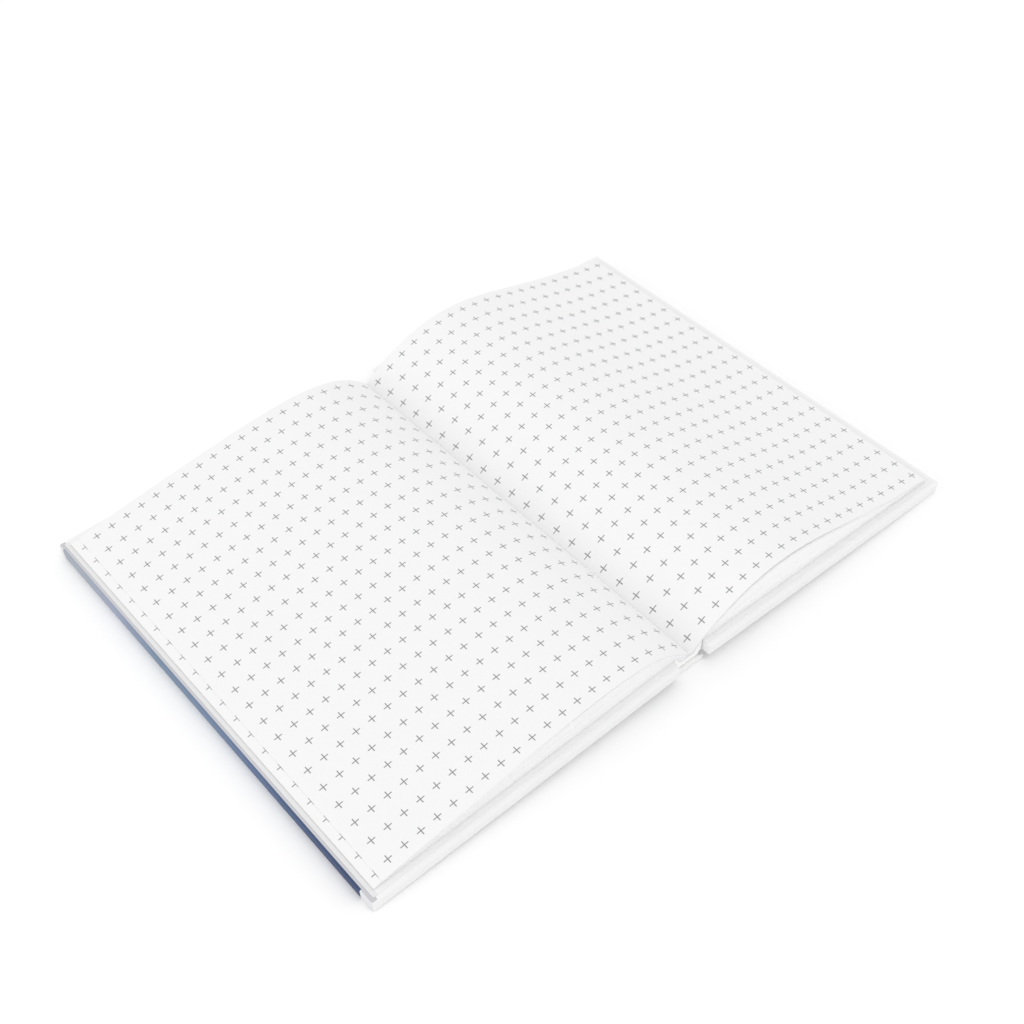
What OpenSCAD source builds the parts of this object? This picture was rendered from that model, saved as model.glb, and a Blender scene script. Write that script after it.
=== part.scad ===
// Open hardcover notebook with sewn sections, lying open near its middle.
// Millimetres. X runs across the opening, +Y towards the head, +Z up.
// The origin is the centre of the case on the surface that it lies on. The front board is
// the wider one, so the spine's centre line lies to the right of the origin.

/* [Case] */
// Width of the front board
front_board_w = 138.2; // [136:0.1:142]
// Width of the back board
back_board_w = 134.6; // [132:0.1:140]
// Height of the finished case from tail to head
case_h = 203.2; // [180:0.1:230]
// Thickness of the bare board
board_t = 4.5; // [2.5:0.1:5]
// Thickness of the printed paper glued round the boards
cover_paper_t = 0.3; // [0.2:0.05:0.4]
// Distance from the spine's centre line to the inner end of each board
inner_x = 7.4; // [7.2:0.1:8]
// Height that the block holds the inner end of each board at
inner_lift = 4.1; // [3.6:0.1:4.2]
// Depth of paper folded in over the board edges
turn_in = 15; // [8:1:20]
// Bare edge of the turn-in that the pastedown leaves
pastedown_inset = 1.8; // [1:0.1:4]

/* [Spine] */
// Width of the stiff strip in the spine
spine_board_w = 15; // [14:0.1:16]
// Thickness of the stiff strip in the spine
spine_board_t = 2; // [1.5:0.1:2.1]
// How much shorter than the case the spine strip is at each end
spine_inset = 2.9; // [0:0.1:3.6]
// Width of the folded backs of the sections
backs_w = 5; // [4:0.1:6]

/* [Pages] */
// Height of the leaves from tail to head
page_h = 195.7; // [170:0.1:200]
// Distance of the opening from the spine's centre line
gutter_x = 0.8; // [0.4:0.1:1]
// Thickness of the endpapers
endpaper_t = 0.2; // [0.15:0.05:0.25]
// Thickness of one free leaf
leaf_t = 0.25; // [0.2:0.05:0.3]
// Air between one layer and the next
layer_gap = 0.04; // [0.02:0.01:0.06]
// Reach of the left-hand sections from the gutter
left_reach = 143; // [141:0.1:143]
// Reach of the left-hand top leaf from the gutter
left_leaf_reach = 139.4; // [130:0.1:142]
// Reach of the right-hand sections from the gutter
right_reach = 136.6; // [130:0.1:137]
// Reach of the right-hand top leaf from the gutter
right_leaf_reach = 136; // [130:0.1:137]

/* [Hidden] */

LEFT = -1;
RIGHT = 1;
paper_white = [0.97, 0.97, 0.97];
printed_blue = [0.3, 0.4, 0.56];
board_grey = [0.72, 0.7, 0.67];

case_t = board_t + 2 * cover_paper_t;
board_h = case_h - 2 * cover_paper_t;
spine_h = case_h - 2 * spine_inset;
spine_top = cover_paper_t + spine_board_t;
spine_half = spine_board_w / 2 + cover_paper_t;

// Sewn backs of the sections, on the lining
lining_t = 0.4;
lining_gap = 0.15;
lining_overlap = 1.2;
backs_z = spine_top + lining_gap + lining_t + layer_gap;
backs_t = 2.5;
backs_top = backs_z + backs_t;
thread_d = 0.4;
stitch_count = 5;
stitch_length = 24;

// Where the layers leave the gutter and climb over the end of the board
gutter_half = 0.5;
climb_from = 3;
climb_to = inner_x - 0.5;
base_z = backs_top + 0.3;
first_section_from = inner_x - 1.6;

// Rise of the top page out of the gutter, its fall towards the fore-edge and its swell:
// [height at the gutter, fall per mm, rise, length of the rise, swell, its centre, its width]
left_form = [6.6, -0.157, 21.5, 17.9, 1, 90, 80];
right_form = [0.6, -0.117, 22.6, 31, 11.6, 41.7, 50];

// Shares of the stack's height at which one section ends and the next starts
section_share = [0, 0.15, 0.43, 0.71, 1];
steps = 40;

function board_w(side) = side == LEFT ? front_board_w : back_board_w;
function tilt(side) = asin(inner_lift / board_w(side));
function outer_x(side) = inner_x + board_w(side) * cos(tilt(side));
function form(side) = side == LEFT ? left_form : right_form;
function place(side, s) = gutter_x + side * s;
function smooth(t) = let (c = min(1, max(0, t))) c * c * (3 - 2 * c);

// Height of the top page at the distance s from the gutter
function page_top(side, s) =
    let (f = form(side))
    f[0] + f[1] * s + f[2] * (1 - exp(-s / f[3])) + f[4] * exp(-pow((s - f[5]) / f[6], 2));

// Height of a board's inner face at the distance x from the spine's centre line
function face_z(side, x) = case_t / cos(tilt(side)) + (outer_x(side) - x) * tan(tilt(side));

// Underside of the stack of sections: over the endpapers, then down to the sewn backs
function stack_low(side, s) =
    let (x = abs(place(side, s)))
    let (over = face_z(side, max(x, climb_to)) + 2 * endpaper_t + 3 * layer_gap)
    base_z + (over - base_z) * smooth((x - climb_from) / (climb_to - climb_from));

// Depth that the free leaves take off the top of the stack
function leaves_t(side) = (side == LEFT ? 1 : 2) * (leaf_t + layer_gap);
function stack_high(side, s) = page_top(side, s) - leaves_t(side);
function level(side, s, share) =
    stack_low(side, s) + share * (stack_high(side, s) - stack_low(side, s));

// Distances from the gutter, closer together where the page bends most
function stations(reach) =
    [for (i = [0:steps]) gutter_half + (reach - gutter_half) * pow(i / steps, 1.5)];

module along_book(length) {
    translate([0, length / 2, 0])
        rotate([90, 0, 0])
            linear_extrude(length)
                children();
}

module layer(side, path, low, high) {
    last = len(path) - 1;
    top_edge = [for (i = [0:last]) [place(side, path[i]), high[i]]];
    bottom_edge = [for (i = [last:-1:0]) [place(side, path[i]), low[i]]];
    color(paper_white)
        along_book(page_h)
            polygon(concat(top_edge, bottom_edge));
}

// The lowest section starts beyond the sewn backs, the others in the gutter
module section(side, number) {
    reach = side == LEFT ? left_reach : right_reach;
    from = number == 1 ? first_section_from : 0;
    path = [for (s = stations(reach)) if (abs(place(side, s)) >= from) s];
    low = [for (s = path) level(side, s, section_share[number - 1]) + layer_gap / 2];
    high = [for (s = path) level(side, s, section_share[number]) - layer_gap / 2];
    layer(side, path, low, high);
}

module leaf(side, depth, reach) {
    path = stations(reach);
    high = [for (s = path) page_top(side, s) - depth * (leaf_t + layer_gap)];
    low = [for (z = high) z - leaf_t];
    layer(side, path, low, high);
}

module facing(side) {
    if (side == LEFT)
        children();
    else
        mirror([1, 0, 0])
            children();
}

// Local frame of a cover: x from the outer end to the inner end, z up from its underside
module on_cover(side) {
    facing(side)
        translate([-outer_x(side), 0, 0])
            rotate([0, -tilt(side), 0])
                children();
}

module bare_board(side) {
    translate([cover_paper_t, -board_h / 2, cover_paper_t])
        cube([board_w(side) - 2 * cover_paper_t, board_h, board_t]);
}

module cover_board(side) {
    color(board_grey)
        on_cover(side)
            bare_board(side);
}

// Wrapped round the board, with its turn-ins leaving the middle of the inner face bare
module cover_paper(side) {
    window_w = board_w(side) - turn_in - cover_paper_t;
    window_h = case_h - 2 * turn_in;
    color(side == LEFT ? printed_blue : paper_white)
        on_cover(side)
            difference() {
                translate([0, -case_h / 2, 0])
                    cube([board_w(side), case_h, case_t]);
                bare_board(side);
                translate([turn_in, -window_h / 2, board_t])
                    cube([window_w, window_h, case_t]);
            }
}

module pastedown(side) {
    color(paper_white)
        on_cover(side)
            translate([pastedown_inset, -case_h / 2 + pastedown_inset, case_t + layer_gap / 2])
                cube([board_w(side) - pastedown_inset, case_h - 2 * pastedown_inset, endpaper_t]);
}

module flyleaf(side) {
    reach = side == LEFT ? left_reach - gutter_x : right_reach + gutter_x;
    edge_x = outer_x(side) - reach;
    color(paper_white)
        on_cover(side)
            translate([edge_x, -page_h / 2, case_t + endpaper_t + layer_gap])
                cube([board_w(side) - edge_x, page_h, endpaper_t]);
}

module spine_strip() {
    color(board_grey)
        translate([-spine_board_w / 2, -spine_h / 2, cover_paper_t])
            cube([spine_board_w, spine_h, spine_board_t]);
}

module spine_paper() {
    color(paper_white)
        difference() {
            translate([-spine_half, -spine_h / 2, 0])
                cube([2 * spine_half, spine_h, spine_top]);
            translate([-spine_board_w / 2, -spine_h, cover_paper_t])
                cube([spine_board_w, 2 * spine_h, spine_top]);
        }
}

// The joint bows inwards between the edge of the spine strip and the end of the board
function joint_path() =
    let (foot = [-spine_half + cover_paper_t / 2, spine_top + 0.05])
    let (bow = [-spine_half + 2.6, (spine_top + inner_lift) / 2])
    let (head = [-inner_x + 0.2, inner_lift - 0.25])
    [for (i = [0:10]) let (t = i / 10)
        pow(1 - t, 2) * foot + 2 * t * (1 - t) * bow + t * t * head];

module joint_paper(side) {
    path = joint_path();
    shift = [cover_paper_t / 2, 0];
    outside = [for (p = path) p - shift];
    inside = [for (i = [len(path) - 1:-1:0]) path[i] + shift];
    color(paper_white)
        facing(side)
            along_book(spine_h)
                polygon(concat(outside, inside));
}

module backs() {
    color(paper_white)
        translate([gutter_x / 2 - backs_w / 2, -page_h / 2, backs_z])
            cube([backs_w, page_h, backs_t]);
}

module lining() {
    lining_w = backs_w + 2 * lining_overlap;
    color(paper_white)
        translate([gutter_x / 2 - lining_w / 2, -page_h / 2, spine_top + lining_gap])
            cube([lining_w, page_h, lining_t]);
}

// Long stitches that lie in the fold at the bottom of the gutter
module thread() {
    pitch = page_h / stitch_count;
    color(paper_white)
        for (i = [0:stitch_count - 1])
            translate([gutter_x, (i - (stitch_count - 1) / 2) * pitch, backs_top + thread_d / 2])
                rotate([90, 0, 0])
                    cylinder(d = thread_d, h = stitch_length, center = true, $fn = 24);
}

// Brings the middle of the whole case to the origin
module centred() {
    translate([(outer_x(LEFT) - outer_x(RIGHT)) / 2, 0, 0])
        children();
}

centred() cover_board(LEFT);  // front_board
centred() cover_board(RIGHT);  // back_board
centred() spine_strip();  // spine_board
centred() cover_paper(LEFT);  // front_cover_paper
centred() cover_paper(RIGHT);  // back_cover_paper
centred() spine_paper();  // spine_cover_paper
centred() joint_paper(LEFT);  // front_joint_paper
centred() joint_paper(RIGHT);  // back_joint_paper
centred() pastedown(LEFT);  // front_pastedown
centred() pastedown(RIGHT);  // back_pastedown
centred() flyleaf(LEFT);  // front_flyleaf
centred() flyleaf(RIGHT);  // back_flyleaf
centred() backs();  // section_backs
centred() lining();  // spine_lining
centred() thread();  // sewing_thread
centred() section(LEFT, 1);  // left_section_1
centred() section(LEFT, 2);  // left_section_2
centred() section(LEFT, 3);  // left_section_3
centred() section(LEFT, 4);  // left_section_4
centred() leaf(LEFT, 0, left_leaf_reach);  // left_leaf
centred() section(RIGHT, 1);  // right_section_1
centred() section(RIGHT, 2);  // right_section_2
centred() section(RIGHT, 3);  // right_section_3
centred() section(RIGHT, 4);  // right_section_4
centred() leaf(RIGHT, 0, right_leaf_reach);  // right_leaf_1
centred() leaf(RIGHT, 1, right_leaf_reach);  // right_leaf_2
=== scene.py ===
import math
import random

import bmesh
import bpy
from mathutils import Matrix, Vector


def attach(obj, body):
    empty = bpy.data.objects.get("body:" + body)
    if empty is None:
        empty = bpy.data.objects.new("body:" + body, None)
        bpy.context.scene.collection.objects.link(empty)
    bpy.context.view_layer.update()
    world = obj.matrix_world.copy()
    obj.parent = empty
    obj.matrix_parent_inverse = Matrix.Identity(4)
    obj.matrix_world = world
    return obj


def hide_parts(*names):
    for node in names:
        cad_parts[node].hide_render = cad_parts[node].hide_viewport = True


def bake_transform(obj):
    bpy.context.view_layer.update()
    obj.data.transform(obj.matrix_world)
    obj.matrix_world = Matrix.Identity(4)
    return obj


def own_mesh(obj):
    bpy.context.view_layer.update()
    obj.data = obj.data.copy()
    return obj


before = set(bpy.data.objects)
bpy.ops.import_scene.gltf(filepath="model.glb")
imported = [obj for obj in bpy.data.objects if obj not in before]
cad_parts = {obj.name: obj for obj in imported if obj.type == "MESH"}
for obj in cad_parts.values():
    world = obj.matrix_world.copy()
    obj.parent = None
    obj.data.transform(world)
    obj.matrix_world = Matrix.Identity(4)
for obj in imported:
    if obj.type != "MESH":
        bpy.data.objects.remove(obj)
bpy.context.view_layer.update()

MM = 0.001
LEFT, RIGHT = -1, 1

# Sizes of the CAD model in millimetres
BOARD_W = {LEFT: 138.2, RIGHT: 134.6}
CASE_H = 203.2
COVER_PAPER_T = 0.3
CASE_T = 5.1
INNER_X = 7.4
INNER_Z = 4.1
TILT = {side: math.asin(INNER_Z / BOARD_W[side]) for side in (LEFT, RIGHT)}
OUTER_X = {side: INNER_X + BOARD_W[side] * math.cos(TILT[side]) for side in (LEFT, RIGHT)}
SPINE_X = (OUTER_X[LEFT] - OUTER_X[RIGHT]) / 2  # the spine's centre line, from the middle of the case
TURN_IN = 15.0
SPINE_W = 15.6
SPINE_H = 197.4
SPINE_TOP = 2.3
PAGE_H = 195.7
GUTTER_X = 0.8
ENDPAPER_T = 0.2
LEAF_T = 0.25
LAYER_GAP = 0.04
GUTTER_HALF = 0.06
BACKS_W = 5.0
BACKS_Z, BACKS_TOP = 2.89, 5.39

# The pages' underside: its height over the sewn backs, and the two distances
# from the spine's centre line between which it climbs to the board
BASE_Z = 5.69
CLIMB_FROM, CLIMB_TO = 3.0, 6.9

# How far the sections and the top leaves reach from the gutter,
# and where a free leaf of the right side turns
REACH = {LEFT: 143.0, RIGHT: 136.6}
LEAF_REACH = {LEFT: 139.4, RIGHT: 136.0}
TURN_AT = 8.0

# Sections 1 to 4 lie between these shares of the stack's height, from its underside up
SECTION_SHARE = (0, 0.15, 0.43, 0.71, 1)

# Visual leaves: how many a section shows, the share of its step that each one fills and leaves
# free under it, the share of its thickness that a loose leaf shows, and the unevenness of their ends
SHOWN_LEAVES = 8
LEAF_FILL = (0.86, 0.94)
LEAF_LIFT = 0.03
LOOSE_LEAF_FILL = 0.9
UNEVEN_REACH, UNEVEN_END = 0.35, 0.12

# Loose leaves over the sections, and the extra sag of each one where the page swells
LOOSE_LEAVES = {LEFT: 1, RIGHT: 2}
SAG = {LEFT: 0.42, RIGHT: 0.5}
SAG_CENTRE, SAG_WIDTH, SAG_START = 48, 40, 14

# Section of the top page: a slope, a quick rise out of the gutter and a broad swell
PAGE_FORM = {
    LEFT: {"base": 6.6, "slope": -0.157, "rise": 21.5, "rise_len": 17.9,
           "swell": 1, "centre": 90, "width": 80},
    RIGHT: {"base": 0.6, "slope": -0.117, "rise": 22.6, "rise_len": 31,
            "swell": 11.6, "centre": 41.7, "width": 50}}

# Printed crosses: pitch, half length, half width of a line and its soft edge.
# The slip moves the printing of the lower leaves against the top leaf's, inwards and towards the tail
# because both of its numbers are below zero.
COLUMN, ROW = 6.85, 8.87
CROSS_HALF, LINE_HALF, LINE_EDGE = 1.65, 0.2, 0.06
ROWS_TO_TAIL = 12
TOP_COLUMNS, LOWER_COLUMNS = 20, 21
LOWER_LEAF_SLIP = (-1.05, -1.03)

# The front cover's print lies between these distances from the middle and runs a little over
# the fore-edge; shade is painted grey on the turn-in and on the endpaper beside it along the fore-edge
PRINT_TAIL, PRINT_HEAD = -94.9, 98.1
PRINT_OVER_EDGE = 0.8
PAINTED_SHADE_MARGIN = 2.6
PAINTED_SHADE_BORDER = 3.6
FACE_SKIN = 0.04  # what lies less deep than this counts as the inner face

# Paper round the spine strip and round the boards
SPINE_PAST_STRIP = 0.3
SPINE_PAPER_RISE = 0.28
SPINE_HEM = 1.2
SPINE_TURN_IN = 12.0
JOINT_HEM = 0.6
STRIP_T = 0.26

# Folded backs, which fill the gutter's floor out to FILL_X on each side, and the cloth under them
FOLDS, FOLDS_HALF = 16, 5.2
FILL_X = 7.1
FILL_GAP = 0.06
LINING_LAP, LINING_T, LINING_GAP = 1.2, 0.4, 0.15

# Sewing thread: it rises over the backs and dives into them at the ends of each stitch
STITCHES, STITCH_L, THREAD_R = 5, 24.0, 0.18
STITCH_RISE, STITCH_DIVE = 0.1, 0.3

# Tones of the papers, from 0 (black) to 1 (white)
PAGE_LIGHT = 0.875
COVER_LIGHT = 0.88
ENDPAPER_LIGHT, ENDPAPER_DARK = 0.86, 0.84

# A weave or twist turns by this many radians per metre: one wave every 0.7 mm
WEAVE = 9000

# The table is a white sheet with a weak glow, just under the book; half its width is in metres
TABLE_HALF = 3.0
TABLE_DROP = 0.1
TABLE_GLOW = 0.05

# Strength of the white light from all round
ROOM_LIGHT = 0.93

rng = random.Random(11)


# ---------------------------------------------------------------- page shape

def smooth(t):
    """Smooth step from 0 to 1."""
    c = min(1.0, max(0.0, t))
    return c * c * (3 - 2 * c)


def page_top(side, s):
    """Height of the top page at the distance s from the gutter."""
    form = PAGE_FORM[side]
    climb = form["rise"] * (1 - math.exp(-s / form["rise_len"]))
    swell = form["swell"] * math.exp(-((s - form["centre"]) / form["width"]) ** 2)
    return form["base"] + form["slope"] * s + climb + swell


def face_z(side, x):
    """Height of a board's inner face at the distance x from the spine's centre line."""
    return CASE_T / math.cos(TILT[side]) + (OUTER_X[side] - x) * math.tan(TILT[side])


def underside(side, x):
    """Height of the pages' underside at the distance x from the spine's centre line."""
    over = face_z(side, max(x, CLIMB_TO)) + 2 * ENDPAPER_T + 3 * LAYER_GAP
    return BASE_Z + (over - BASE_Z) * smooth((x - CLIMB_FROM) / (CLIMB_TO - CLIMB_FROM))


def stack_low(side, s):
    """Underside of the sections at the distance s from the gutter."""
    return underside(side, abs(GUTTER_X + side * s))


def fan(side, s):
    """How far a loose leaf lies below the leaf above it."""
    swell = math.exp(-((s - SAG_CENTRE) / SAG_WIDTH) ** 2) * smooth(s / SAG_START)
    return (LEAF_T + LAYER_GAP) + SAG[side] * swell


def stack_high(side, s):
    """Top of the sections, under the loose leaves."""
    return page_top(side, s) - LOOSE_LEAVES[side] * fan(side, s)


def level(side, s, share):
    """Height at a share of the stack, from its underside (0) to its top (1)."""
    low = stack_low(side, s)
    return low + share * (stack_high(side, s) - low)


def stations(start, end, count=56):
    """Distances from the gutter, closer together where the page bends most."""
    return [start + (end - start) * (i / count) ** 1.5 for i in range(count + 1)]


# ---------------------------------------------------------------- materials

class Nodes:
    """A short way to write a material's node tree."""

    def __init__(self, name, roughness=0.9, specular=0.25):
        self.material = bpy.data.materials.new(name)
        self.material.use_nodes = True
        self.tree = self.material.node_tree
        self.shader = self.tree.nodes["Principled BSDF"]
        self.shader.inputs["Roughness"].default_value = roughness
        self.shader.inputs["Specular IOR Level"].default_value = specular

    def add(self, kind, **settings):
        node = self.tree.nodes.new(kind)
        for key, value in settings.items():
            setattr(node, key, value)
        return node

    def link(self, source, target):
        self.tree.links.new(source, target)

    def put(self, socket, value):
        if isinstance(value, bpy.types.NodeSocket):
            self.link(value, socket)
        else:
            socket.default_value = value

    def math(self, operation, *values):
        node = self.add("ShaderNodeMath", operation=operation)
        for socket, value in zip(node.inputs, values):
            self.put(socket, value)
        return node.outputs[0]

    def coordinates(self):
        return self.add("ShaderNodeTexCoord").outputs["Object"]

    def split(self, vector):
        node = self.add("ShaderNodeSeparateXYZ")
        self.link(vector, node.inputs[0])
        return node.outputs

    def scaled(self, vector, scale):
        node = self.add("ShaderNodeMapping")
        self.link(vector, node.inputs["Vector"])
        node.inputs["Scale"].default_value = scale
        return node.outputs[0]

    def noise(self, vector, scale, detail=4.0, roughness=0.6):
        node = self.add("ShaderNodeTexNoise")
        self.link(vector, node.inputs["Vector"])
        node.inputs["Scale"].default_value = scale
        node.inputs["Detail"].default_value = detail
        node.inputs["Roughness"].default_value = roughness
        return node.outputs["Fac"]

    def ramp(self, value, stops):
        node = self.add("ShaderNodeValToRGB")
        self.link(value, node.inputs[0])
        elements = node.color_ramp.elements
        while len(elements) < len(stops):
            elements.new(0.5)
        for element, (position, colour) in zip(elements, stops):
            element.position = position
            element.color = colour
        return node.outputs[0]

    def mix(self, factor, first, second, blend="MIX"):
        node = self.add("ShaderNodeMix", data_type="RGBA", blend_type=blend)
        self.put(node.inputs[0], factor)
        self.put(node.inputs[6], first)
        self.put(node.inputs[7], second)
        return node.outputs[2]

    def bump(self, height, strength, distance):
        node = self.add("ShaderNodeBump")
        node.inputs["Strength"].default_value = strength
        node.inputs["Distance"].default_value = distance
        self.link(height, node.inputs["Height"])
        self.link(node.outputs[0], self.shader.inputs["Normal"])

    def colour(self, value):
        self.put(self.shader.inputs["Base Color"], value)


def linear(c):
    """Linear light of a screen tone from 0 to 255."""
    return c / 255 / 12.92 if c <= 10 else ((c / 255 + 0.055) / 1.055) ** 2.4


def srgb(r, g, b):
    return (linear(r), linear(g), linear(b), 1.0)


def grey(v):
    return (v, v, v, 1.0)


INK = srgb(141, 141, 144)


def paper_colour(n, where, light, dark):
    """Cloudy paper with faint fibres, between two tones."""
    clouds = n.noise(where, scale=60, detail=3)
    fibres = n.noise(n.scaled(where, (900, 2600, 900)), scale=1.0, detail=5, roughness=0.7)
    tone = n.math("ADD", n.math("MULTIPLY", clouds, 0.6), n.math("MULTIPLY", fibres, 0.4))
    return n.ramp(tone, [(0.3, dark), (0.7, light)]), fibres


def page_material(name, columns, slip=(0.0, 0.0)):
    """Paper with a grid of crosses, moved outwards and towards the head by slip."""
    n = Nodes(name)
    where = n.coordinates()
    paper, fibres = paper_colour(n, where, grey(PAGE_LIGHT), grey(PAGE_LIGHT * 0.985))
    x, y, _ = n.split(where)
    from_gutter = n.math("ABSOLUTE", n.math("SUBTRACT", x, (SPINE_X + GUTTER_X) * MM))
    across = n.math("SUBTRACT", n.math("DIVIDE", from_gutter, MM), slip[0])
    along = n.math("ADD", n.math("DIVIDE", y, MM), ROWS_TO_TAIL * ROW - slip[1])

    def from_centre(value, pitch):
        """Distance from the middle of the pitch, where a cross stands."""
        share = n.math("FRACT", n.math("DIVIDE", value, pitch))
        return n.math("MULTIPLY", n.math("ABSOLUTE", n.math("SUBTRACT", share, 0.5)), pitch)

    def below(value, limit):
        """Soft step that is 1 under the limit."""
        node = n.add("ShaderNodeMapRange", interpolation_type="SMOOTHSTEP")
        n.link(value, node.inputs[0])
        node.inputs[1].default_value = limit - LINE_EDGE
        node.inputs[2].default_value = limit + LINE_EDGE
        node.inputs[3].default_value = 1.0
        node.inputs[4].default_value = 0.0
        return node.outputs[0]

    dx = from_centre(across, COLUMN)
    dy = from_centre(along, ROW)
    upright = n.math("MULTIPLY", below(dx, LINE_HALF), below(dy, CROSS_HALF))
    level_bar = n.math("MULTIPLY", below(dy, LINE_HALF), below(dx, CROSS_HALF))
    cross = n.math("MAXIMUM", upright, level_bar)
    inside = below(across, columns * COLUMN)
    spread = n.math("ADD", 0.8, n.math("MULTIPLY", fibres, 0.3))
    ink = n.math("MULTIPLY", n.math("MULTIPLY", cross, inside), spread)
    n.colour(n.mix(ink, paper, INK))
    n.bump(fibres, strength=0.12, distance=0.00008)
    return n.material


def plain_paper(name, light, dark, strength=0.15, roughness=0.9, stretch=(1, 1, 1)):
    """Unprinted paper between two tones."""
    n = Nodes(name, roughness)
    where = n.scaled(n.coordinates(), stretch)
    paper, fibres = paper_colour(n, where, light, dark)
    n.colour(paper)
    n.bump(fibres, strength, distance=0.0001)
    return n.material


def cardboard(name):
    """Grey board with specks and faint plies."""
    n = Nodes(name, roughness=0.95)
    where = n.coordinates()
    specks = n.noise(where, scale=1400, detail=6, roughness=0.8)
    plies = n.noise(n.scaled(where, (40, 40, 3000)), scale=1.0, detail=3)
    tone = n.math("ADD", n.math("MULTIPLY", specks, 0.6), n.math("MULTIPLY", plies, 0.4))
    n.colour(n.ramp(tone, [(0.3, srgb(150, 144, 134)), (0.7, srgb(188, 183, 172))]))
    n.bump(tone, strength=0.3, distance=0.0002)
    return n.material


def cloth(name):
    """Off-white woven cloth."""
    n = Nodes(name, roughness=0.95)
    x, y, _ = n.split(n.coordinates())
    warp = n.math("SINE", n.math("MULTIPLY", x, WEAVE))
    weft = n.math("SINE", n.math("MULTIPLY", y, WEAVE))
    weave = n.math("MULTIPLY", warp, weft)
    tone = n.math("MULTIPLY_ADD", weave, 0.25, 0.5)
    fuzz = n.noise(n.coordinates(), scale=2500, detail=4, roughness=0.7)
    tone = n.math("ADD", n.math("MULTIPLY", tone, 0.7), n.math("MULTIPLY", fuzz, 0.3))
    n.colour(n.ramp(tone, [(0.25, srgb(205, 201, 190)), (0.75, srgb(240, 237, 228))]))
    n.bump(weave, strength=0.4, distance=0.0002)
    return n.material


def twisted_thread(name):
    """Off-white thread with a slanting twist."""
    n = Nodes(name, roughness=0.8)
    x, y, z = n.split(n.coordinates())
    slant = n.math("ADD", y, n.math("ADD", x, z))
    twist = n.math("SINE", n.math("MULTIPLY", slant, WEAVE))
    fuzz = n.noise(n.coordinates(), scale=3000, detail=4, roughness=0.7)
    tone = n.math("ADD", n.math("MULTIPLY_ADD", twist, 0.3, 0.35), n.math("MULTIPLY", fuzz, 0.3))
    n.colour(n.ramp(tone, [(0.2, srgb(214, 211, 202)), (0.8, srgb(246, 244, 238))]))
    n.bump(twist, strength=0.5, distance=0.0001)
    return n.material


def front_cover_material(name):
    """Blue print that fades to grey towards the head, with painted grey shade on the turn-in along the
    fore-edge and on the fore-edge beyond the print.
    """
    n = Nodes(name, roughness=0.6, specular=0.3)
    where = n.coordinates()
    x, y, z = n.split(where)
    clouds = n.noise(where, scale=22, detail=4)
    shifted = n.math("ADD", y, n.math("MULTIPLY", n.math("SUBTRACT", clouds, 0.5), 0.03))
    up_the_book = n.add("ShaderNodeMapRange")
    n.link(shifted, up_the_book.inputs[0])
    up_the_book.inputs[1].default_value = -CASE_H / 2 * MM
    up_the_book.inputs[2].default_value = CASE_H / 2 * MM
    art = n.ramp(up_the_book.outputs[0], [
        (0.08, srgb(57, 73, 108)), (0.25, srgb(74, 93, 127)), (0.36, srgb(92, 110, 144)),
        (0.5, srgb(110, 129, 155)), (0.65, srgb(117, 135, 158)), (0.8, srgb(150, 158, 180)),
        (0.96, srgb(161, 168, 177))])
    white, fibres = paper_colour(n, where, grey(COVER_LIGHT), grey(COVER_LIGHT * 0.98))
    past_tail = n.math("GREATER_THAN", y, PRINT_TAIL * MM)
    in_art = n.math("MULTIPLY", past_tail, n.math("LESS_THAN", y, PRINT_HEAD * MM))
    outside = n.math("LESS_THAN", z, (CASE_T - FACE_SKIN) * MM)
    turned_in = n.math("SUBTRACT", 1.0, outside)
    on_edge = n.math("LESS_THAN", x, PRINT_OVER_EDGE * MM)
    printed = n.math("MULTIPLY", in_art, n.math("MAXIMUM", outside, on_edge))
    # Painted shade: the turn-in next to the fore-edge is painted grey, short of the head and the tail
    shaded_margin = n.math("MULTIPLY", n.math("LESS_THAN", x, PAINTED_SHADE_MARGIN * MM), turned_in)
    short_of_ends = n.math("LESS_THAN", n.math("ABSOLUTE", y), (CASE_H / 2 - 0.5) * MM)
    shaded_margin = n.math("MULTIPLY", shaded_margin, short_of_ends)
    # Painted shade: the fore-edge face beyond the ends of the print is painted light grey
    on_fore_edge = n.math("LESS_THAN", x, COVER_PAPER_T * MM)
    corner = n.math("MULTIPLY", on_fore_edge, n.math("SUBTRACT", 1.0, in_art))
    base = n.mix(shaded_margin, n.mix(corner, white, srgb(222, 222, 224)), srgb(198, 198, 203))
    n.colour(n.mix(printed, base, art))
    n.bump(fibres, strength=0.08, distance=0.00008)
    return n.material


def front_endpaper_material(name):
    """White endpaper with grey shade painted on its border along the fore-edge, like the turn-in beside
    it.
    """
    n = Nodes(name)
    where = n.coordinates()
    x = n.split(where)[0]
    paper, fibres = paper_colour(n, where, grey(ENDPAPER_LIGHT), grey(ENDPAPER_DARK))
    # Painted shade: a grey border along the fore-edge
    shaded_border = n.math("LESS_THAN", x, (SPINE_X - OUTER_X[LEFT] + PAINTED_SHADE_BORDER) * MM)
    n.colour(n.mix(shaded_border, paper, n.mix(fibres, grey(0.79), grey(0.76))))
    n.bump(fibres, strength=0.15, distance=0.0001)
    return n.material


top_page = page_material("printed_page", TOP_COLUMNS)
lower_page = page_material("printed_page_wide", LOWER_COLUMNS, LOWER_LEAF_SLIP)
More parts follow.
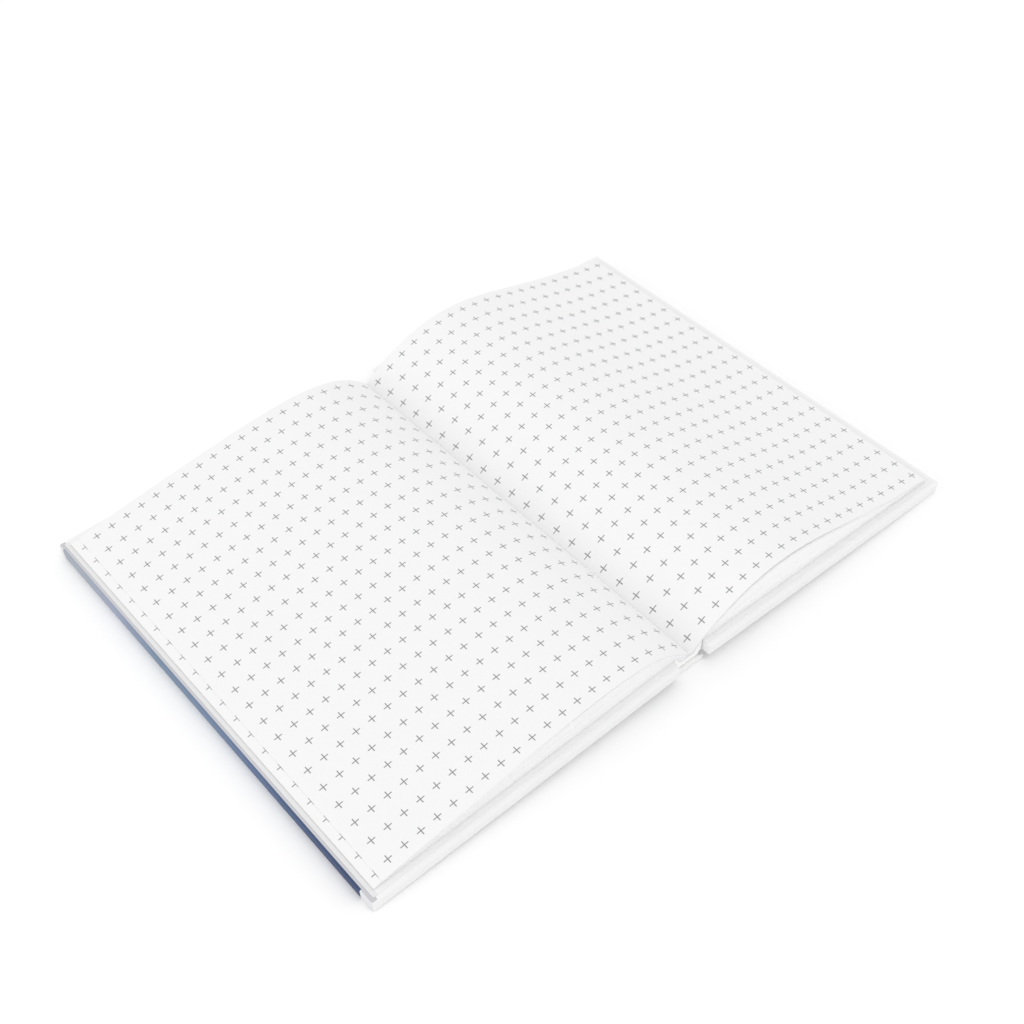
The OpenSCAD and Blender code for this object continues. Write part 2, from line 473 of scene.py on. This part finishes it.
# Painted light: the pages' cut edges are painted lighter than the page faces of the same paper, for the
# light that falls on the book's sides
edge_paper_painted_light = plain_paper("paper_edges_painted_light", grey(0.97), grey(0.94), stretch=(0.05, 0.05, 1))
endpaper = plain_paper("endpaper", grey(ENDPAPER_LIGHT), grey(ENDPAPER_DARK))
front_endpaper = front_endpaper_material("front_endpaper")
cover_white = plain_paper("cover_white", grey(COVER_LIGHT), grey(COVER_LIGHT * 0.98),
                          strength=0.08, roughness=0.55)
cover_blue = front_cover_material("front_cover_print")
board_material = cardboard("grey_board")
cloth_material = cloth("lining_cloth")
thread_material = twisted_thread("sewing_thread")


# ---------------------------------------------------------------- mesh helpers

def object_from(name, bm, materials, matrix=None):
    """Turns a mesh drawn from the spine's centre line, or in a board's own frame, into an object."""
    if matrix is None:
        bmesh.ops.translate(bm, verts=bm.verts[:], vec=(SPINE_X * MM, 0, 0))
    mesh = bpy.data.meshes.new(name)
    bm.to_mesh(mesh)
    bm.free()
    for material in materials:
        mesh.materials.append(material)
    obj = bpy.data.objects.new(name, mesh)
    bpy.context.scene.collection.objects.link(obj)
    obj.matrix_world = matrix or Matrix.Identity(4)
    return obj


def shade(obj, angle=35):
    """Smooth shading, with edges over the angle kept sharp."""
    for polygon in obj.data.polygons:
        polygon.use_smooth = True
    obj.data.set_sharp_from_angle(angle=math.radians(angle))


def add_slab(bm, side, path, low, high, tail, head, rows=6):
    """One leaf or bundle of leaves: top and bottom follow the page, the rim is the paper's cut edge."""
    grid = []
    for heights in (low, high):
        lines = []
        for j in range(rows + 1):
            y = tail + (head - tail) * j / rows
            line = [((GUTTER_X + side * s) * MM, y * MM, z * MM) for s, z in zip(path, heights)]
            lines.append([bm.verts.new(point) for point in line])
        grid.append(lines)
    bottom, top = grid
    last = len(path) - 1

    def quad(a, b, c, d, material):
        order = (a, b, c, d) if side == RIGHT else (d, c, b, a)
        face = bm.faces.new(order)
        face.material_index = material

    for j in range(rows):
        for i in range(last):
            quad(top[j][i], top[j][i + 1], top[j + 1][i + 1], top[j + 1][i], 0)
            quad(bottom[j + 1][i], bottom[j + 1][i + 1], bottom[j][i + 1], bottom[j][i], 0)
        quad(bottom[j][last], bottom[j + 1][last], top[j + 1][last], top[j][last], 1)
        quad(bottom[j + 1][0], bottom[j][0], top[j][0], top[j + 1][0], 1)
    for i in range(last):
        quad(bottom[0][i], bottom[0][i + 1], top[0][i + 1], top[0][i], 1)
        quad(bottom[rows][i + 1], bottom[rows][i], top[rows][i], top[rows][i + 1], 1)


# ---------------------------------------------------------------- book block

def flatten(obj):
    """Gives the object a mesh of its own; the pages are not flattened here."""
    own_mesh(obj)


def section(side, number):
    """The visible leaves of one section, each a little shorter or longer than the next."""
    word = "left" if side == LEFT else "right"
    bm = bmesh.new()
    low_share, high_share = SECTION_SHARE[number - 1], SECTION_SHARE[number]
    step = (high_share - low_share) / SHOWN_LEAVES
    for k in range(SHOWN_LEAVES):
        share = low_share + k * step
        reach = REACH[side] - rng.uniform(0, UNEVEN_REACH)
        path = stations(GUTTER_HALF, reach)
        fill = rng.uniform(*LEAF_FILL)
        low = [level(side, s, share + step * LEAF_LIFT) for s in path]
        high = [level(side, s, share + step * (LEAF_LIFT + fill)) for s in path]
        tail = -PAGE_H / 2 + rng.uniform(0, UNEVEN_END)
        head = PAGE_H / 2 - rng.uniform(0, UNEVEN_END)
        add_slab(bm, side, path, low, high, tail, head)
    obj = object_from(f"{word}_section_{number}_leaves", bm, [lower_page, edge_paper_painted_light])
    shade(obj)
    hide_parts(f"{word}_section_{number}")
    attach(obj, f"{word}_pages")
    flatten(obj)


def loose_leaf(name, side, depth, start, end):
    """A leaf that lies free over the sections, or the part of it between two distances from the gutter."""
    path = stations(start, end)
    high = [page_top(side, s) - depth * fan(side, s) for s in path]
    low = [z - LEAF_T * LOOSE_LEAF_FILL for z in high]
    bm = bmesh.new()
    add_slab(bm, side, path, low, high, -PAGE_H / 2, PAGE_H / 2)
    obj = object_from(name, bm, [top_page, edge_paper_painted_light])
    shade(obj)
    return obj


for number in (1, 2, 3, 4):
    section(LEFT, number)
    section(RIGHT, number)

top_left = loose_leaf("left_top_leaf", LEFT, 0, GUTTER_HALF, LEAF_REACH[LEFT])
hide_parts("left_leaf")
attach(top_left, "left_pages")
flatten(top_left)

for index in (1, 2):
    depth = index - 1
    base = loose_leaf(f"right_leaf_{index}_base", RIGHT, depth, GUTTER_HALF, TURN_AT)
    outer = loose_leaf(f"right_leaf_{index}_sheet", RIGHT, depth, TURN_AT, LEAF_REACH[RIGHT])
    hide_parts(f"right_leaf_{index}")
    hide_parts(f"right_leaf_{index}")
    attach(base, "right_pages")
    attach(outer, f"turning_leaf_{index}")
    flatten(base)
    flatten(outer)


# ---------------------------------------------------------------- case

def board_frame(side):
    """Local frame of a cover: x from the fore-edge to the joint, z from its outer face inwards."""
    place = Matrix.Translation(((SPINE_X + side * OUTER_X[side]) * MM, 0, 0))
    return place @ Matrix.Rotation(side * TILT[side], 4, "Y")


def wrap_shell(name, width, height, thick, corner, edge, window, materials, matrix, flip=False):
    """Paper wrapped round a board: rounded outside, with an opening (x0, x1, y0, y1) in the inner face."""
    bm = bmesh.new()
    bmesh.ops.create_cube(bm, size=1)
    for v in bm.verts:
        v.co = Vector(((v.co.x + 0.5) * width * MM, v.co.y * height * MM, (v.co.z + 0.5) * thick * MM))
    upright = [e for e in bm.edges if abs(e.verts[0].co.z - e.verts[1].co.z) > thick * MM / 2]
    bmesh.ops.bevel(bm, geom=upright, offset=corner * MM, segments=6, profile=0.5, affect="EDGES")
    rim = [e for e in bm.edges if len({f.normal.to_tuple(2)[2] for f in e.link_faces}) == 2]
    bmesh.ops.bevel(bm, geom=rim, offset=edge * MM, segments=5, profile=0.5, affect="EDGES")
    x0, x1, y0, y1 = (v * MM for v in window)
    cuts = [((x0, 0, 0), (1, 0, 0)), ((x1, 0, 0), (1, 0, 0)),
            ((0, y0, 0), (0, 1, 0)), ((0, y1, 0), (0, 1, 0))]
    for point, normal in cuts:
        everything = bm.verts[:] + bm.edges[:] + bm.faces[:]
        bmesh.ops.bisect_plane(bm, geom=everything, plane_co=point, plane_no=normal, dist=1e-7)
    bm.normal_update()
    opening = []
    for f in bm.faces:
        c = f.calc_center_median()
        if f.normal.z > 0.9 and x0 < c.x < x1 and y0 < c.y < y1:
            opening.append(f)
    bmesh.ops.delete(bm, geom=opening, context="FACES")
    if flip:
        for v in bm.verts:
            v.co.x = -v.co.x
        bmesh.ops.reverse_faces(bm, faces=bm.faces[:])
    obj = object_from(name, bm, materials, matrix)
    shade(obj, 40)
    wall = obj.modifiers.new("paper", "SOLIDIFY")
    wall.thickness = (COVER_PAPER_T - 0.02) * MM
    wall.offset = -1
    wall.use_even_offset = True
    return obj


def cover_wrap(side, word, material):
    """The paper of one cover, with its turn-ins along the head, the tail and the fore-edge."""
    window = (TURN_IN, BOARD_W[side] - JOINT_HEM, -CASE_H / 2 + TURN_IN, CASE_H / 2 - TURN_IN)
    cover = wrap_shell(f"{word}_cover_wrap", BOARD_W[side], CASE_H, CASE_T, corner=1.0, edge=0.55,
                       window=window, materials=[material], matrix=board_frame(side), flip=side == RIGHT)
    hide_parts(f"{word}_cover_paper")
    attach(cover, f"{word}_cover")


cover_wrap(LEFT, "front", cover_blue)
cover_wrap(RIGHT, "back", cover_white)

spine = wrap_shell("spine_wrap", SPINE_W, SPINE_H + 2 * SPINE_PAST_STRIP, SPINE_TOP + SPINE_PAPER_RISE,
                   corner=0.6, edge=0.5,
                   window=(SPINE_HEM, SPINE_W - SPINE_HEM,
                           -SPINE_H / 2 + SPINE_TURN_IN, SPINE_H / 2 - SPINE_TURN_IN),
                   materials=[cover_white],
                   matrix=Matrix.Translation(((SPINE_X - SPINE_W / 2) * MM, 0, 0)))
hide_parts("spine_cover_paper")
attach(spine, "spine")


def joint_strip(side, word):
    """The cover paper between the spine strip and a board, bowed inwards while the book lies open."""
    foot = Vector((SPINE_W / 2 - 0.16, 0, SPINE_TOP - 0.1))
    bow = Vector((SPINE_W / 2 - 2.4, 0, (SPINE_TOP + INNER_Z) / 2))
    head = Vector((INNER_X - 0.05, 0, INNER_Z + 0.25))
    count, rows = 20, 24
    line = []
    for i in range(count + 1):
        t = i / count
        line.append((1 - t) ** 2 * foot + 2 * t * (1 - t) * bow + t * t * head)
    bm = bmesh.new()
    verts = []
    for j in range(rows + 1):
        y = -SPINE_H / 2 + SPINE_H * j / rows
        verts.append([bm.verts.new((side * p.x * MM, y * MM, p.z * MM)) for p in line])
    for j in range(rows):
        for i in range(count):
            bm.faces.new((verts[j][i], verts[j][i + 1], verts[j + 1][i + 1], verts[j + 1][i]))
    bmesh.ops.solidify(bm, geom=bm.faces[:], thickness=STRIP_T * MM)
    bmesh.ops.recalc_face_normals(bm, faces=bm.faces[:])
    obj = object_from(f"{word}_joint_strip", bm, [cover_white])
    shade(obj, 50)
    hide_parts(f"{word}_joint_paper")
    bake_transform(obj)


joint_strip(LEFT, "front")
joint_strip(RIGHT, "back")


# ---------------------------------------------------------------- sewn backs, lining and thread

def swept(name, outline, length, materials, rows=12, waver=0.0):
    """A closed outline in X and Z, carried along the book and shifted by up to the waver to each side."""
    bm = bmesh.new()
    rings = []
    for j in range(rows + 1):
        y = -length / 2 + length * j / rows
        shift = waver * math.sin(j * 2.1)
        rings.append([bm.verts.new(((x + shift) * MM, y * MM, z * MM)) for x, z in outline])
    count = len(outline)
    for j in range(rows):
        for i in range(count):
            k = (i + 1) % count
            bm.faces.new((rings[j][i], rings[j][k], rings[j + 1][k], rings[j + 1][i]))
    bm.faces.new(rings[0])
    bm.faces.new(rings[-1][::-1])
    bmesh.ops.recalc_face_normals(bm, faces=bm.faces[:])
    obj = object_from(name, bm, materials)
    shade(obj, 40)
    return obj


def folds(x0, x1, z, count, depth=0.16):
    """The sections' folded backs: one rounded fold after another along the bottom."""
    steps = 8
    points = []
    for i in range(count * steps + 1):
        t = i / (count * steps)
        groove = depth * (1 - abs(math.sin(math.pi * t * count)))
        points.append((x0 + (x1 - x0) * t, z + groove))
    return points


def under_pages(side, count=12):
    """Points along the pages' underside, from the end of a board down to the sewing."""
    points = []
    for i in range(count + 1):
        x = FILL_X - (FILL_X - CLIMB_FROM) * i / count
        points.append((side * x, underside(side, x) - FILL_GAP))
    return points


# The outline runs along the folds at the bottom, up a flank to the end of the board, along the pages'
# underside to the sewn backs, and down the other side in the same way
backs_x0, backs_x1 = GUTTER_X / 2 - BACKS_W / 2, GUTTER_X / 2 + BACKS_W / 2
flank = [(5.6, 3.1), (6.0, 3.6), (6.05, 4.3), (FILL_X, 4.8)]
outline = folds(-FOLDS_HALF, FOLDS_HALF, BACKS_Z, FOLDS)
outline += flank + under_pages(RIGHT) + [(backs_x1, BACKS_TOP), (backs_x0, BACKS_TOP)]
outline += under_pages(LEFT)[::-1] + [(-x, z) for x, z in reversed(flank)]
backs = swept("sewn_section_backs", outline, PAGE_H, [edge_paper_painted_light])
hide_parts("section_backs")
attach(backs, "spine")

lining_half = BACKS_W / 2 + LINING_LAP
lining_z = SPINE_TOP + LINING_GAP
lining_edge = [(lining_half - 0.4, 0), (lining_half, 0.1),
               (lining_half, 0.35), (lining_half - 0.5, LINING_T)]
lining_outline = [(GUTTER_X / 2 + x, lining_z + z) for x, z in lining_edge]
lining_outline += [(GUTTER_X / 2 - x, lining_z + z) for x, z in reversed(lining_edge)]
lining = swept("spine_lining_cloth", lining_outline, PAGE_H, [cloth_material], rows=40, waver=0.04)
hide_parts("spine_lining")
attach(lining, "spine")


def add_stitch(bm, middle, parts=40, sides=10):
    """One stitch along the gutter: a thin tube whose ends dive into the folds."""
    rings = []
    for i in range(parts + 1):
        t = i / parts
        y = middle - STITCH_L / 2 + STITCH_L * t
        dive = smooth(abs(t - 0.5) * 2 * 3 - 2)
        z = BACKS_TOP + STITCH_RISE - STITCH_DIVE * dive
        ring = []
        for k in range(sides):
            a = 2 * math.pi * k / sides
            r = THREAD_R * (1 + 0.12 * math.cos(2 * a + i * 1.3))
            point = (GUTTER_X + r * math.cos(a), y, z + r * math.sin(a))
            ring.append(bm.verts.new([v * MM for v in point]))
        rings.append(ring)
    for i in range(parts):
        for k in range(sides):
            m = (k + 1) % sides
            bm.faces.new((rings[i][k], rings[i][m], rings[i + 1][m], rings[i + 1][k]))
    bm.faces.new(rings[0])
    bm.faces.new(rings[-1][::-1])


bm = bmesh.new()
for index in range(STITCHES):
    add_stitch(bm, (index - (STITCHES - 1) / 2) * PAGE_H / STITCHES)
bmesh.ops.recalc_face_normals(bm, faces=bm.faces[:])
stitches = object_from("sewing_stitches", bm, [thread_material])
shade(stitches, 60)
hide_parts("sewing_thread")
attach(stitches, "spine")

# The boards and the endpapers are shown as the CAD makes them
for names, material in (
        (("front_board", "back_board", "spine_board"), board_material),
        (("front_pastedown", "front_flyleaf"), front_endpaper),
        (("back_pastedown", "back_flyleaf"), endpaper)):
    for name in names:
        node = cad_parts[name]
        for slot in node.material_slots:
            slot.material = material
        if not node.material_slots:
            node.data.materials.append(material)


# ---------------------------------------------------------------- floor, light and camera

bm = bmesh.new()
bmesh.ops.create_grid(bm, x_segments=4, y_segments=4, size=TABLE_HALF)
bmesh.ops.translate(bm, verts=bm.verts[:], vec=(0, 0, -TABLE_DROP * MM))
table = plain_paper("floor_paper", grey(0.93), grey(0.925), strength=0.02)
table_shader = table.node_tree.nodes["Principled BSDF"]
table_shader.inputs["Emission Color"].default_value = (1, 1, 1, 1)
table_shader.inputs["Emission Strength"].default_value = TABLE_GLOW
floor = object_from("floor", bm, [table])

world = bpy.data.worlds.new("studio")
bpy.context.scene.world = world
world.use_nodes = True
world.node_tree.nodes["Background"].inputs["Color"].default_value = (1, 1, 1, 1)
world.node_tree.nodes["Background"].inputs["Strength"].default_value = ROOM_LIGHT


def softbox(name, place, size, power):
    """A round lamp that faces the book."""
    light = bpy.data.lights.new(name, "AREA")
    light.shape = "DISK"
    light.size = size
    light.energy = power
    obj = bpy.data.objects.new(name, light)
    bpy.context.scene.collection.objects.link(obj)
    obj.location = place
    obj.rotation_euler = (-Vector(place)).to_track_quat("-Z", "Y").to_euler()


softbox("key", place=(0.5, -1.2, 2.6), size=1.6, power=9)
softbox("low_fill", place=(-2.4, 0.6, 0.75), size=1.6, power=9)

# The camera looks down at the book from beyond its left tail corner
CAMERA_PLACE = Vector((-254, -296.7, 415.5))
CAMERA_RIGHT = Vector((0.7568, -0.65364, 0)).normalized()
CAMERA_FORWARD = Vector((0.45073, 0.52214, -0.72402)).normalized()
camera_data = bpy.data.cameras.new("camera")
camera_data.lens = 50
camera_data.sensor_width = 36
camera = bpy.data.objects.new("camera", camera_data)
bpy.context.scene.collection.objects.link(camera)
camera_up = CAMERA_RIGHT.cross(CAMERA_FORWARD)
turn = Matrix((CAMERA_RIGHT, camera_up, -CAMERA_FORWARD)).transposed().to_4x4()
camera.matrix_world = Matrix.Translation(CAMERA_PLACE * MM) @ turn
bpy.context.scene.camera = camera
bpy.context.scene.view_settings.view_transform = "Standard"
